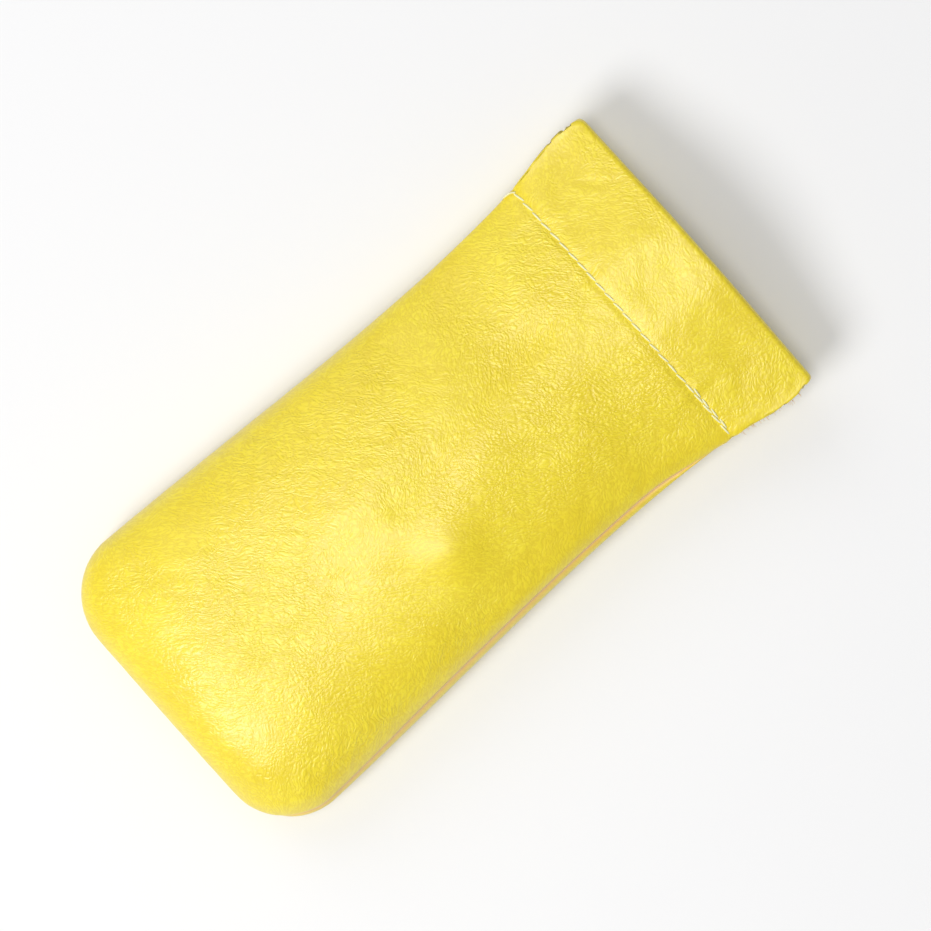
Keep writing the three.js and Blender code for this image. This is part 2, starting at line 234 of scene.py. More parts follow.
def soft_ramp(value, rounding):
    """The value where it is positive and 0 where it is negative, rounded between the two."""
    rounded = (value + rounding) ** 2 / (4 * rounding)
    return np.where(value > rounding, value, np.where(value < -rounding, 0, rounded))


def arch(x, end=PIN_X, rounding=FLEXURE_ROUNDING):
    """The mouth's rise from 0 at each end to 1 over the middle strip, rounded at the flexures."""
    ramp = soft_ramp(np.abs(x) - MIDDLE_HALF, rounding)
    return soft_ramp(1 - ramp / (end - MIDDLE_HALF), PIN_ROUNDING)


def outer_arch(x):
    """The arch of the hem's outside, where the leather rounds off the corners of the strip."""
    swell = FLEXURE_SWELL * np.exp(-(((np.abs(x) - MIDDLE_HALF) / OUTER_ROUNDING) ** 2))
    return arch(x, rounding=OUTER_ROUNDING) + swell / LIFT


def channel_room(x):
    """Extra room in the hem beside the flexures, where the side strips slide as they turn."""
    return CHANNEL_ROOM * smooth(np.abs(x), *CHANNEL_ROOM_X)


def corner_drop(u, y):
    """How far the mouth's edge falls short at its rounded corners, softer on the left side."""
    side = half_width(np.maximum(y, PANEL_RIM))
    radius = np.where(u < 0, LEFT_MOUTH_CORNER, RIGHT_MOUTH_CORNER)
    past = np.clip((np.abs(u) * side - side + radius) / radius, 0, 1)
    return radius * (1 - np.sqrt(1 - past**2)) * smooth(y, MOUTH_EDGE - 12, MOUTH_EDGE - 2)


def section_height(u, y, face, inset):
    """Height of the leather's middle surface over the seam plane, for the panel and the hem."""
    empty = 1 - np.clip((y - CLOSED_END) / END_ROUNDING, 0, 1)
    filled = (1 - empty**END_FULLNESS) ** (1 / END_FULLNESS)
    belly = FRONT_BULGE if face > 0 else BACK_BULGE
    full = filled * mix(belly, HEM_RISE, smooth(y, PANEL_RIM - NECK_LENGTH, PANEL_RIM)) - inset
    power = mix(BELLY_FULLNESS, RIM_FULLNESS, smooth(y, PANEL_RIM - LENS_LENGTH, PANEL_RIM))
    panel = np.maximum(full, 0) * np.clip(1 - u * u, 0, 1) ** power
    x = u * half_width(y)
    hem = SHUT_RISE - inset + LIFT * outer_arch(x) + channel_room(x)
    return mix(panel, hem, smooth(y, PANEL_RIM - 5, PANEL_RIM + 8))


def edge_distance(x, y):
    """Distance in from the outline of the panel, and the inward direction there."""
    side = side_line(y)
    to_side = side - np.abs(x)
    to_end = y - CLOSED_END
    centre_x = side - CORNER_RADIUS
    centre_y = CLOSED_END + CORNER_RADIUS
    in_corner = (np.abs(x) > centre_x) & (y < centre_y)
    out_x, out_y = np.abs(x) - centre_x, y - centre_y
    radius = np.hypot(out_x, out_y) + 1e-9
    near_end = to_end < to_side
    distance = np.where(in_corner, CORNER_RADIUS - radius, np.where(near_end, to_end, to_side))
    inward_x = np.where(in_corner, -out_x / radius, np.where(near_end, 0, -1)) * np.sign(x)
    inward_y = np.where(in_corner, -out_y / radius, np.where(near_end, 1, 0))
    return np.maximum(distance, 0), inward_x, inward_y


def seam_shift(inward_x, y, along):
    """How far the leather moves round the edge: up on the right side, down everywhere else."""
    right_side = smooth(-inward_x, 0.15, 0.95)
    right_rise = 0.55 + 0.3 * smooth(y, -80, -30)
    near_seam = 1 - smooth(along, 0, SEAM_SHIFT_REACH)
    below_hem = 1 - smooth(y, SEAM_SHIFT_ENDS, PANEL_RIM - 2)
    return SEAM_SHIFT * mix(-1, right_rise, right_side) * near_seam * below_hem


def skin(u, y, face, inset):
    """Points of a sheet lying inset within the pouch, and how far each is from the seam."""
    x = u * half_width(y)
    distance, inward_x, inward_y = edge_distance(x, y)
    along = np.sqrt((distance + EDGE_RADIUS) ** 2 - EDGE_RADIUS**2)
    shifted = along + face * seam_shift(inward_x, y, along)
    moved = np.sqrt(shifted**2 + EDGE_RADIUS**2) - EDGE_RADIUS
    px = x + inward_x * (moved - distance)
    py = y + inward_y * (moved - distance)
    width = half_width(np.maximum(py, CLOSED_END))
    pu = np.clip(px / width, -1, 1)
    own = section_height(pu, py, face, inset)
    other = section_height(pu, py, -face, inset)
    height = np.where(shifted >= 0, own, -other)
    drawn_in = inset * (1 - smooth(along, 0, 9))
    px = px * (1 - drawn_in / np.maximum(width, 1))
    z = seam_height(py) + face * (height + SEAM_HALF_GAP)
    return np.stack([px, py + drawn_in * inward_y, z], -1), along


def unit(vectors):
    """The vectors at a length of 1."""
    return vectors / (np.linalg.norm(vectors, axis=-1, keepdims=True) + 1e-12)


def grid_normals(points, face):
    """Outward directions at the points of a grid."""
    across = np.gradient(points, axis=1)
    up = np.gradient(points, axis=0)
    return unit(np.cross(across, up) * face)


def seam_nearness(along):
    """1 at the seam, fading to 0 a few SEAM_ROLLs away."""
    return np.exp(-((along / SEAM_ROLL) ** 2))


def skin_with_normals(u, y, face, inset):
    """The sheet's points and outward normals. At the seam both faces share one normal."""
    points, along = skin(u, y, face, inset)
    partner, _ = skin(u, y, -face, inset)
    shared = seam_nearness(along)[..., None]
    normals = unit(grid_normals(points, face) + shared * grid_normals(partner, -face))
    normals[0, 0] = normals[0, 1]
    normals[0, -1] = normals[0, -2]
    return points, normals, along


# ---- Folds and bumps in the leather ------------------------------------------------------

GRAIN_ALONG = np.array([0.66, 0.75])    # most wrinkles lie across the pouch, aslant
CREASE_START = np.array([-10.7, 46.9])  # the long crease runs down the front from its neck
CREASE_END = np.array([-2.0, -8.5])
CREASE_DEPTH = 0.75
LENS_BUMP = np.array([17.0, -8.0])      # where the glasses inside push the leather up
LENS_BUMP_HEIGHT = 1.6
LUMP_HEIGHT = 1.1
SMALL_LUMP_HEIGHT = 0.6
WRINKLE_HEIGHT = 0.17
HEM_UNEVENNESS = 0.3
PUCKER_HEIGHT = 0.22
STITCH_VALLEY = 0.45                    # the row of stitches pulls the leather in by this much
LINING_SAG = 0.55                       # the lining hangs loose, away from the leather


def crease_distance(x, y):
    """Distance from the long crease on the front."""
    line = CREASE_END - CREASE_START
    t = ((x - CREASE_START[0]) * line[0] + (y - CREASE_START[1]) * line[1]) / (line @ line)
    t = np.clip(t, 0, 1)
    dx = x - CREASE_START[0] - t * line[0]
    dy = y - CREASE_START[1] - t * line[1]
    return np.hypot(dx, dy)


def turn_share(x, y):
    """How far the wrinkles turn from lying aslant to running towards the mouth's left."""
    near_crease = np.exp(-((crease_distance(x, y) / 6) ** 2))
    near_right = smooth(x, 22, 36)
    patches = smooth(noise(x / 21, y / 26, 41), 0.05, 0.6)
    hem = smooth(y, STITCH_Y - 4, STITCH_Y + 4) * smooth(np.abs(x - 4), 26, 8)
    return np.clip(near_crease + near_right + 0.7 * patches + 0.8 * hem, 0, 1)


def lens_bump(x, y, length, width):
    """1 at the middle of the bump over the lens, fading out along the grain and across it."""
    dx, dy = x - LENS_BUMP[0], y - LENS_BUMP[1]
    across = dx * GRAIN_ALONG[0] + dy * GRAIN_ALONG[1]
    down = -dx * GRAIN_ALONG[1] + dy * GRAIN_ALONG[0]
    return np.exp(-((across / length) ** 2) - (down / width) ** 2)


def slack(x, y, along, face):
    """How wrinkled the leather is: less where it is stretched over a lens, a roll or the strip."""
    wrinkled = mix(0.3, 1, smooth(along, 2, 13))
    wrinkled = wrinkled * mix(1, 0.75, smooth(y, STITCH_Y - 3, STITCH_Y + 3))
    wrinkled = wrinkled * mix(0.55, 1, smooth(noise(x / 17, y / 19, 77), -0.6, 0.3))
    if face > 0:
        wrinkled = wrinkled * (1 - 0.8 * lens_bump(x + 3.5, y + 2, 10.0, 8.0))
    return wrinkled


def broad_relief(x, y, along, face, seed):
    """Lumps, the long crease and the lens: shapes that the leather and its lining share."""
    lumps = LUMP_HEIGHT * noise(x / 33, y / 41, seed)
    lumps = lumps + SMALL_LUMP_HEIGHT * noise(x / 15, y / 18, seed + 1)
    out = lumps * smooth(along, 3, 16) * (1 - smooth(y, 44, STITCH_Y))
    if face > 0:
        crease = np.exp(-((crease_distance(x, y) / 5.5) ** 2)) * (1 - smooth(y, 40, 60))
        out = out - CREASE_DEPTH * crease
        out = out + LENS_BUMP_HEIGHT * lens_bump(x, y, 8.0, 6.5)
    return out


def fine_relief(x, y, along, seed):
    """Wrinkles, the hem's unevenness, and the stitch line's valley with its puckers."""
    p = x * GRAIN_ALONG[0] + y * GRAIN_ALONG[1]
    q = -x * GRAIN_ALONG[1] + y * GRAIN_ALONG[0]
    aslant = ridges(p / 15, q / 3.8, seed + 2) + 0.6 * ridges(p / 8, q / 2.3, seed + 3)
    turned = ridges(q / 13, p / 3.6, seed + 4) + 0.6 * ridges(q / 7, p / 2.3, seed + 5)
    out = WRINKLE_HEIGHT * mix(aslant, turned, turn_share(x, y)) * smooth(along, 1, 9)
    hem = smooth(y, STITCH_Y + 2, STITCH_Y + 9) * (1 - smooth(y, MOUTH_EDGE - 9, MOUTH_EDGE - 2))
    out = out + HEM_UNEVENNESS * hem * noise(x / 13, y / 8, seed + 9)
    near_stitch = np.exp(-(((y - STITCH_Y) / 7) ** 2))
    puckers = noise(x / 2.6, y / 14, seed + 6) * (0.5 + smooth(x, 8, 36))
    out = out + PUCKER_HEIGHT * puckers * near_stitch
    out = out - STITCH_VALLEY * np.exp(-(((y - STITCH_Y) / 1.1) ** 2))
    at_seam = (1 - smooth(along, 0.3, 3)) * (1 - smooth(y, PANEL_RIM - 4, PANEL_RIM))
    return out * (1 - at_seam)


# ---- Meshes ------------------------------------------------------------------------------


def sheet_mesh(name, middle, normals, thickness, grain, shares, face):
    """A closed sheet round a grid of middle points: outside, inside and rim, a material each."""
    rows, columns = middle.shape[:2]
    outer = middle + normals * thickness[..., None] / 2
    inner = middle - normals * thickness[..., None] / 2
    points = np.concatenate([outer.reshape(-1, 3), inner.reshape(-1, 3)]) * MM
    count = rows * columns
    index = np.arange(count).reshape(rows, columns)
    a, b = index[:-1, :-1].ravel(), index[:-1, 1:].ravel()
    c, d = index[1:, 1:].ravel(), index[1:, :-1].ravel()
    top = np.stack([a, b, c, d], 1)
    bottom = np.stack([a, d, c, b], 1) + count
    loop = np.concatenate([index[0, :-1], index[:-1, -1], index[-1, :0:-1], index[:0:-1, 0]])
    following = np.roll(loop, -1)
    rim = np.stack([following, loop, loop + count, following + count], 1)
    faces = np.concatenate([top, bottom, rim])
    if face < 0:
        faces = faces[:, ::-1]
    mesh = bpy.data.meshes.new(name)
    mesh.from_pydata(points.tolist(), [], faces.tolist())
    mesh.update()
    smooth_flags = np.ones(len(faces), bool)
    mesh.polygons.foreach_set("use_smooth", smooth_flags)
    slots = np.zeros(len(faces), np.int32)
    slots[len(top):len(top) + len(bottom)] = 1
    slots[len(top) + len(bottom):] = 2
    mesh.polygons.foreach_set("material_index", slots)
    doubled = np.concatenate([grain.reshape(-1, 3)] * 2)
    attribute = mesh.attributes.new("grain", "FLOAT_VECTOR", "POINT")
    attribute.data.foreach_set("vector", doubled.astype(np.float32).ravel())
    for share_name, values in shares.items():
        attribute = mesh.attributes.new(share_name, "FLOAT", "POINT")
        attribute.data.foreach_set("value", np.tile(values.ravel(), 2).astype(np.float32))
    piece = bpy.data.objects.new(name, mesh)
    bpy.context.scene.collection.objects.link(piece)
    return piece


def column_shares():
    """The grid's columns as shares of half the width, closer together towards the sides."""
    return np.sin(np.linspace(-np.pi / 2, np.pi / 2, COLUMNS + 1))


def panel_rows(first, last, count):
    """Rows from the first place to the last, closer together towards the first."""
    return first + (last - first) * np.linspace(0, 1, count + 1) ** 1.5


def unrolled(points, last_y):
    """Where each point lies on the leather once it is laid flat: distances along the grid."""
    across = np.linalg.norm(np.diff(points, axis=1), axis=-1)
    across = np.concatenate([np.zeros((len(points), 1)), np.cumsum(across, 1)], 1)
    across -= across[:, COLUMNS // 2:COLUMNS // 2 + 1]
    up = np.linalg.norm(np.diff(points, axis=0), axis=-1)
    up = np.concatenate([np.zeros((1, points.shape[1])), np.cumsum(up, 0)], 0)
    return across, up - up[-1:] + last_y


def leather_rows():
    """Where the rows of the leather's grid lie, from the closed end to the turn of the hem."""
    panel_ys = panel_rows(CLOSED_END, STITCH_Y - 6, PANEL_ROWS)
    hem_ys = np.linspace(STITCH_Y - 6, TURN_Y, HEM_ROWS + 1)[1:]
    return np.concatenate([panel_ys, hem_ys])


def fold_rows(outer_row, face):
    """The hem's turn round the mouth's edge. It narrows on the way in, to clear the pins."""
    rows = []
    for share in np.arange(1, FOLD_ROWS + 1) / FOLD_ROWS:
        angle = np.pi * share
        row = outer_row.copy()
        row[:, 0] = row[:, 0] * mix(1, FACING_SHARE, smooth(share, 0.5, 1))
        row[:, 1] = mix(row[:, 1], TURN_Y, smooth(share, 0.3, 0.7))
        row[:, 1] = row[:, 1] + FOLD_RADIUS * math.sin(angle)
        row[:, 2] = row[:, 2] - face * FOLD_RADIUS * (1 - math.cos(angle))
        rows.append(row)
    return np.stack(rows)


def facing_rows(last_fold_row, face):
    """The hem turned inwards, which is the inner wall of the channel for the steel strip."""
    us = column_shares()
    rows = []
    for share in np.arange(1, FACING_ROWS + 1) / FACING_ROWS:
        y = np.full_like(us, mix(TURN_Y, HEM_EDGE + 0.2, share))
        x = us * half_width(y) * FACING_SHARE
        rise = SHUT_RISE - LEATHER / 2 - CHANNEL + LIFT * arch(x) - channel_room(x)
        z = mix(last_fold_row[:, 2], MOUTH_HEIGHT + face * rise, smooth(share, 0, 0.15))
        rows.append(np.stack([x, y, z], -1))
    return np.stack(rows)


def leather_points(face, seed):
    """Middle points of one face's leather, how far each is from the seam, and the flat grain."""
    u, y = np.meshgrid(column_shares(), leather_rows())
    x = u * half_width(y)
    points, normals, along = skin_with_normals(u, y, face, LEATHER / 2)
    flat_grain = unrolled(points, TURN_Y)
    rise = broad_relief(x, y, along, face, seed) + fine_relief(x, y, along, seed)
    rise = rise * (1 - smooth(y, TURN_Y - 5, TURN_Y))
    groove = GROOVE_DEPTH * np.exp(-((along / GROOVE_WIDTH) ** 2)) * (1 - smooth(y, *GROOVE_ENDS))
    points = points + normals * (rise - groove)[..., None]
    points[..., 2] = np.maximum(points[..., 2], LEATHER / 2)
    points[..., 1] -= corner_drop(u, y)
    fold = fold_rows(points[-1], face)
    facing = facing_rows(fold[-1], face)
    return np.concatenate([points, fold, facing]), along, flat_grain


def leather_grid(face, seed):
    """Middle points, thickness, grain coordinates and material shares of one face's leather."""
    middle, along, flat_grain = leather_points(face, seed)
    us = column_shares()
    ys = leather_rows()
    outside = slice(0, len(ys))
    fold = slice(len(ys), len(ys) + FOLD_ROWS)
    facing = slice(len(ys) + FOLD_ROWS, None)
    size = middle.shape[:2]

    fold_length = np.pi * FOLD_RADIUS
    fold_ys = TURN_Y + fold_length * np.arange(1, FOLD_ROWS + 1) / FOLD_ROWS
    inwards = (TURN_Y - HEM_EDGE) * np.arange(1, FACING_ROWS + 1) / FACING_ROWS
    facing_ys = TURN_Y + fold_length + inwards
    flat_y = np.concatenate([ys, fold_ys, facing_ys])[:, None] * np.ones(size)
    flat_x = us * half_width(np.minimum(flat_y, MOUTH_EDGE))
    grain = np.stack([flat_x, flat_y, turn_share(flat_x, flat_y)], -1)
    grain[outside, :, 0], grain[outside, :, 1] = flat_grain

    thickness = np.full(size, LEATHER)
    thickness[fold] = np.linspace(LEATHER, FACING, FOLD_ROWS)[:, None]
    thickness[facing] = FACING

    u, y = np.meshgrid(us, ys)
    wrinkled = np.full(size, 0.5)
    wrinkled[outside] = slack(u * half_width(y), y, along, face)
    seam = np.zeros(size)
    seam[outside] = seam_nearness(along) * (1 - smooth(y, PANEL_RIM - 4, PANEL_RIM))
    return middle, thickness, grain, {"slack": wrinkled, "seam": seam}


def make_leather(name, face, seed):
    """The leather of one face, and the outside surface that its stitches lie on."""
    middle, thickness, grain, shares = leather_grid(face, seed)
    normals = grid_normals(middle, face)
    ys = leather_rows()
    outside = slice(0, len(ys))
    u, y = np.meshgrid(column_shares(), ys)
    _, seam_normals, along = skin_with_normals(u, y, face, LEATHER / 2)
    share = np.exp(-((along / 2.2) ** 2)) * (1 - smooth(y, *GROOVE_ENDS))
    agreement = (normals[outside] * seam_normals).sum(-1)
    share = (1 - (1 - share) * smooth(agreement, 0.2, 0.7))[..., None]
    normals[outside] = mix(normals[outside], seam_normals, share)
    normals = unit(normals)
    piece = sheet_mesh(name, middle, normals, thickness, grain, shares, face)
    surface = (ys, middle[outside] + normals[outside] * LEATHER / 2, normals[outside])
    return piece, surface


def make_lining(name, face, seed):
    """The suede of one face, loose inside the leather, up to the hem's stitched edge."""
    us = column_shares()[::2]
    ys = panel_rows(CLOSED_END, HEM_EDGE - 0.4, PANEL_ROWS // 2)
    u, y = np.meshgrid(us, ys)
    inset = LEATHER + LINING_GAP + LINING / 2
    points, normals, along = skin_with_normals(u * LINING_WIDTH_SHARE, y, face, inset)
    looseness = smooth(along, 0.5, 6) * (1 - smooth(y, 50, 64))
    rise = broad_relief(u * half_width(y), y, along, face, seed)
    rise = rise + (0.25 * noise(u * 8, y / 9, seed + 20) - LINING_SAG) * looseness
    points = points + normals * rise[..., None]
    points[..., 2] = np.maximum(points[..., 2], inset)
    thickness = np.full(points.shape[:2], LINING)
    grain = np.stack([u * half_width(y), y, np.zeros_like(y)], -1)
    return sheet_mesh(name, points, normals, thickness, grain, {}, face)


def surface_point(surface, x, y):
    """A point on the outside of the leather, and the outward direction there."""
    ys, points, normals = surface
    row = np.interp(y, ys, np.arange(len(ys)))
    below = min(int(row), len(ys) - 2)
    share = row - below
    line = mix(points[below], points[below + 1], share)
    normal_line = mix(normals[below], normals[below + 1], share)
    point = np.array([np.interp(x, line[:, 0], line[:, k]) for k in range(3)])
    normal = np.array([np.interp(x, line[:, 0], normal_line[:, k]) for k in range(3)])
    return point, normal / np.linalg.norm(normal)


def tube(path, radii, sides=8):
    """Points and faces of a closed tube along a path."""
    path = np.array(path, float)
    tangents = np.gradient(path, axis=0)
    tangents /= np.linalg.norm(tangents, axis=1, keepdims=True)
    up = np.array([0.0, 0.0, 1.0])
    if abs(tangents[0] @ up) > 0.9:
        up = np.array([0.0, 1.0, 0.0])
    points, faces = [], []
    for centre, tangent, radius in zip(path, tangents, radii):
        side = np.cross(tangent, up)
        side /= np.linalg.norm(side)
        other = np.cross(side, tangent)
        for k in range(sides):
            angle = 2 * math.pi * k / sides
            points.append(centre + radius * (math.cos(angle) * side + math.sin(angle) * other))
    last_ring = (len(path) - 1) * sides
    for ring in range(0, last_ring, sides):
        for k in range(sides):
            following = (k + 1) % sides
            faces.append((ring + k, ring + sides + k, ring + sides + following, ring + following))
    first_centre, last_centre = len(points), len(points) + 1
    points.append(path[0])
    points.append(path[-1])
    for k in range(sides):
        following = (k + 1) % sides
        faces.append((first_centre, k, following))
        faces.append((last_centre, last_ring + following, last_ring + k))
    return points, faces


def joined_tubes(name, tubes):
    """One piece made of several tubes."""
    points, faces = [], []
    for tube_points, tube_faces in tubes:
        start = len(points)
        points.extend(tube_points)
        faces.extend(tuple(start + i for i in f) for f in tube_faces)
    mesh = bpy.data.meshes.new(name)
    mesh.from_pydata([tuple(np.array(p) * MM) for p in points], [], faces)
    mesh.polygons.foreach_set("use_smooth", [True] * len(faces))
    mesh.update()
    piece = bpy.data.objects.new(name, mesh)
    bpy.context.scene.collection.objects.link(piece)
    return piece


def stitch_tube(surface, start, end, radius):
    """One stitch: it rises from a needle hole, lies on the leather and dives into the next."""
    path = []
    radii = []
    for share in np.linspace(0, 1, 9):
        hump = math.sin(math.pi * share)
        x = mix(start[0], end[0], share)
        y = mix(start[1], end[1], share)
        point, normal = surface_point(surface, x, y)
        path.append(point + normal * (STITCH_RISE * hump**0.6 - STITCH_SINK))
        radii.append(radius * (0.75 + 0.25 * hump))
    return tube(path, radii)


def make_topstitch(name, surface, face, seed):
    """One row of lockstitches along the hem, sewn back over itself at its right end.

    On the front a loose tail of thread hangs from its left end."""
    generator = np.random.default_rng(seed)
    count = int(2 * STITCH_REACH / STITCH_LENGTH)
    holes = np.linspace(-STITCH_REACH, STITCH_REACH, count + 1)
    tubes = []
    for left, right in zip(holes[:-1], holes[1:]):
        slant = generator.uniform(0.1, 0.35)
        start = (left + 0.15, STITCH_Y - slant)
        end = (right - 0.2, STITCH_Y + slant)
        tubes.append(stitch_tube(surface, start, end, STITCH_RADIUS))
    for left, right in zip(holes[-5:-1], holes[-4:]):
        shift = generator.uniform(0.45, 0.7)
        start = (left - 1.1, STITCH_Y + shift + 0.2)
        end = (right - 1.8, STITCH_Y + shift)
        tubes.append(stitch_tube(surface, start, end, STITCH_RADIUS))
    if face > 0:
        tail = []
        for share in np.linspace(0, 1, 12):
            x = -STITCH_REACH + 0.3 - 0.9 * share
            y = STITCH_Y + 0.3 - 3.2 * share**1.3
            point, normal = surface_point(surface, x, y)
            tail.append(point + normal * (0.25 + 0.5 * math.sin(math.pi * share)))
        tubes.append(tube(tail, np.full(12, STITCH_RADIUS * 0.7)))
    return joined_tubes(name, tubes)


def make_frayed_edge(surface, seed):
    """Stray fibres along the raw edge at the right end of the front hem."""
    generator = np.random.default_rng(seed)
    ys, points, _ = surface
    tubes = []
    for y in generator.uniform(PANEL_RIM + 2, MOUTH_EDGE - 3, 28):
        edge = np.array([np.interp(y, ys, points[:, -1, k]) for k in range(3)])
        start = edge - (0.3, 0, generator.uniform(0.3, 0.9))
        heading = generator.uniform(-1.1, 1.1)
        length = generator.uniform(0.6, 1.7)
        path = []
        for share in np.linspace(0, 1, 6):
            angle = heading * (1 - 0.9 * share)
            step = np.array([math.cos(angle), math.sin(angle), -0.4 * share])
            path.append(start + length * share * step)
        tubes.append(tube(path, np.linspace(0.08, 0.035, 6), sides=5))
    return joined_tubes("frayed_edge", tubes)


# ---- Materials ---------------------------------------------------------------------------


class Nodes:
    """A short way to write a material's node tree."""

    def __init__(self, name):
        self.material = bpy.data.materials.new(name)
        self.material.use_nodes = True
        self.tree = self.material.node_tree
        self.shader = self.tree.nodes["Principled BSDF"]

    def add(self, kind, inputs=None, **settings):
        node = self.tree.nodes.new(kind)
        for key, value in settings.items():
            setattr(node, key, value)
        for key, value in (inputs or {}).items():
            self.feed(node.inputs[key], value)
        return node

    def feed(self, socket, value):
        """Links a socket to another node's output, or sets its own value."""
        if isinstance(value, bpy.types.NodeSocket):
            self.tree.links.new(value, socket)
        else:
            socket.default_value = value

    def link(self, **sockets):
        """Links outputs to the shader: Base_Color stands for its socket Base Color."""
        for name, output in sockets.items():
            self.feed(self.shader.inputs[name.replace("_", " ")], output)

    def set(self, **sockets):
        """Sets values that are the same all over the surface on the shader's own sockets."""
        for name, value in sockets.items():
            self.shader.inputs[name.replace("_", " ")].default_value = value

    def math(self, operation, *values):
        node = self.add("ShaderNodeMath", operation=operation)
        for socket, value in zip(node.inputs, values):
            self.feed(socket, value)
        return node.outputs[0]

    def vector_math(self, operation, *values):
        node = self.add("ShaderNodeVectorMath", operation=operation)
        for socket, value in zip(node.inputs, values):
            self.feed(socket, value)
        return node.outputs[0]

    def attribute(self, name, output="Fac"):
        return self.add("ShaderNodeAttribute", attribute_name=name).outputs[output]

    def object_place(self):
        return self.add("ShaderNodeTexCoord").outputs["Object"]

    def blend_value(self, share, a, b):
        node = self.add("ShaderNodeMix", data_type="FLOAT")
        self.feed(node.inputs[0], share)
        self.feed(node.inputs[2], a)
        self.feed(node.inputs[3], b)
        return node.outputs[0]

    def blend_colour(self, share, a, b):
        node = self.add("ShaderNodeMix", data_type="RGBA")
        self.feed(node.inputs[0], share)
        self.feed(node.inputs[6], a)
        self.feed(node.inputs[7], b)
        return node.outputs[2]

    def ramp(self, value, low, high):
        node = self.add("ShaderNodeMapRange", {"Value": value, "From Min": low, "From Max": high})
        return node.outputs["Result"]

    def turned(self, coordinates, rotation):
        return self.add("ShaderNodeMapping", {"Vector": coordinates,
                                              "Rotation": rotation}).outputs[0]

    def stretched(self, coordinates, angle, scale):
        return self.vector_math("MULTIPLY", self.turned(coordinates, (0, 0, angle)), scale)

    def noise(self, coordinates, detail=3.0, roughness=0.5, output="Fac"):
        node = self.add("ShaderNodeTexNoise", {"Vector": coordinates, "Scale": 1.0,
                                               "Detail": detail, "Roughness": roughness})
        return node.outputs[output]

    def bump(self, height, strength, distance):
        node = self.add("ShaderNodeBump", {"Height": height, "Strength": strength,
                                           "Distance": distance})
        return node.outputs["Normal"]


DEEP_YELLOW = (0.89, 0.700, 0.008, 1)
PALE_YELLOW = (0.94, 0.775, 0.018, 1)
# painted shade: a darker ochre for the wrinkle valleys, where shade falls
CREASE_PAINTED_SHADE = (0.76, 0.56, 0.006, 1)
PORE_OLIVE = (0.72, 0.58, 0.04, 1)
SEAM_TAN = (0.88, 0.52, 0.18, 1)


def leather_material(name):
    """Semi-gloss dyed leather with a milled grain: short slanting wrinkles over fine pebbles."""
    nodes = Nodes(name)
    split = nodes.add("ShaderNodeSeparateXYZ", {"Vector": nodes.attribute("grain", "Vector")})
    across, up, turn = split.outputs
    flat = nodes.add("ShaderNodeCombineXYZ", {"X": across, "Y": up}).outputs[0]

    bend = nodes.noise(nodes.stretched(flat, 0, (0.12, 0.12, 1)), 2.0, output="Color")
    warped = nodes.vector_math("MULTIPLY_ADD", bend, (5.0, 5.0, 0.0), flat)
    aslant = -math.atan2(GRAIN_ALONG[1], GRAIN_ALONG[0])
    wrinkle_a = nodes.noise(nodes.stretched(warped, aslant, (0.36, 1.0, 1)), 2.0)
    wrinkle_b = nodes.noise(nodes.stretched(warped, aslant + math.pi / 2, (0.38, 0.98, 1)), 2.0)
    wrinkle = nodes.blend_value(turn, wrinkle_a, wrinkle_b)
    ridge = nodes.math("ABSOLUTE", nodes.math("SUBTRACT", wrinkle, 0.5))
    creased = nodes.ramp(ridge, 0.0, 0.2)
    pebble = nodes.add("ShaderNodeTexVoronoi",
                       {"Vector": nodes.stretched(warped, 0, (1.3, 1.3, 1)), "Scale": 1.0,
                        "Randomness": 1.0},
                       feature="SMOOTH_F1", voronoi_dimensions="2D")
    cells = nodes.ramp(pebble.outputs["Distance"], 0.1, 0.75)
    pores = nodes.noise(nodes.stretched(flat, 0, (4.5, 4.5, 1)), 2.0, 0.6)
    patches = nodes.noise(nodes.stretched(flat, 0.4, (0.05, 0.05, 1)), 3.0, 0.6)

    height = nodes.math("MULTIPLY_ADD", creased, 0.8, nodes.math("MULTIPLY", cells, -0.55))
    height = nodes.math("MULTIPLY", height, nodes.attribute("slack"))
    height = nodes.math("ADD", height, nodes.math("MULTIPLY", pores, 0.1))

    tone = nodes.blend_colour(nodes.ramp(patches, 0.35, 0.68), DEEP_YELLOW, PALE_YELLOW)
    # painted shade: the wrinkle valleys are darkened towards the ochre, as the shade that falls in them
    crease_painted_shade = nodes.math("MULTIPLY", nodes.ramp(ridge, 0.09, 0.0), 0.6)
    tone = nodes.blend_colour(crease_painted_shade, tone, CREASE_PAINTED_SHADE)
    in_pore = nodes.math("MULTIPLY", nodes.ramp(pores, 0.62, 0.75), 0.25)
    tone = nodes.blend_colour(in_pore, tone, PORE_OLIVE)
    at_seam = nodes.math("MULTIPLY", nodes.attribute("seam"), 0.8)
    tone = nodes.blend_colour(at_seam, tone, SEAM_TAN)

    rough = nodes.math("MULTIPLY_ADD", nodes.ramp(patches, 0.3, 0.7), 0.1, 0.35)
    nodes.link(Base_Color=tone, Roughness=rough, Normal=nodes.bump(height, 0.6, 0.00024))
    nodes.set(Specular_IOR_Level=0.95, Coat_Weight=0.28, Coat_Roughness=0.5)
    return nodes.material


def fibrous_material(name, pale, deep, scale):
    """The flesh side and cut edges of leather, and suede: fine felted fibres."""
    nodes = Nodes(name)
    place = nodes.object_place()
    fibre = nodes.noise(nodes.vector_math("MULTIPLY", place, [scale] * 3), 6.0, 0.7)
    cloud = nodes.noise(nodes.vector_math("MULTIPLY", place, [scale / 16] * 3), 2.0)
    share = nodes.math("ADD", nodes.math("MULTIPLY", fibre, 0.7),
                       nodes.math("MULTIPLY", cloud, 0.3))
    tone = nodes.blend_colour(nodes.ramp(share, 0.35, 0.65), deep, pale)
    nodes.link(Base_Color=tone, Normal=nodes.bump(fibre, 0.6, 0.00025))
    nodes.set(Roughness=0.95, Sheen_Weight=0.25, Sheen_Roughness=0.5)
    return nodes.material


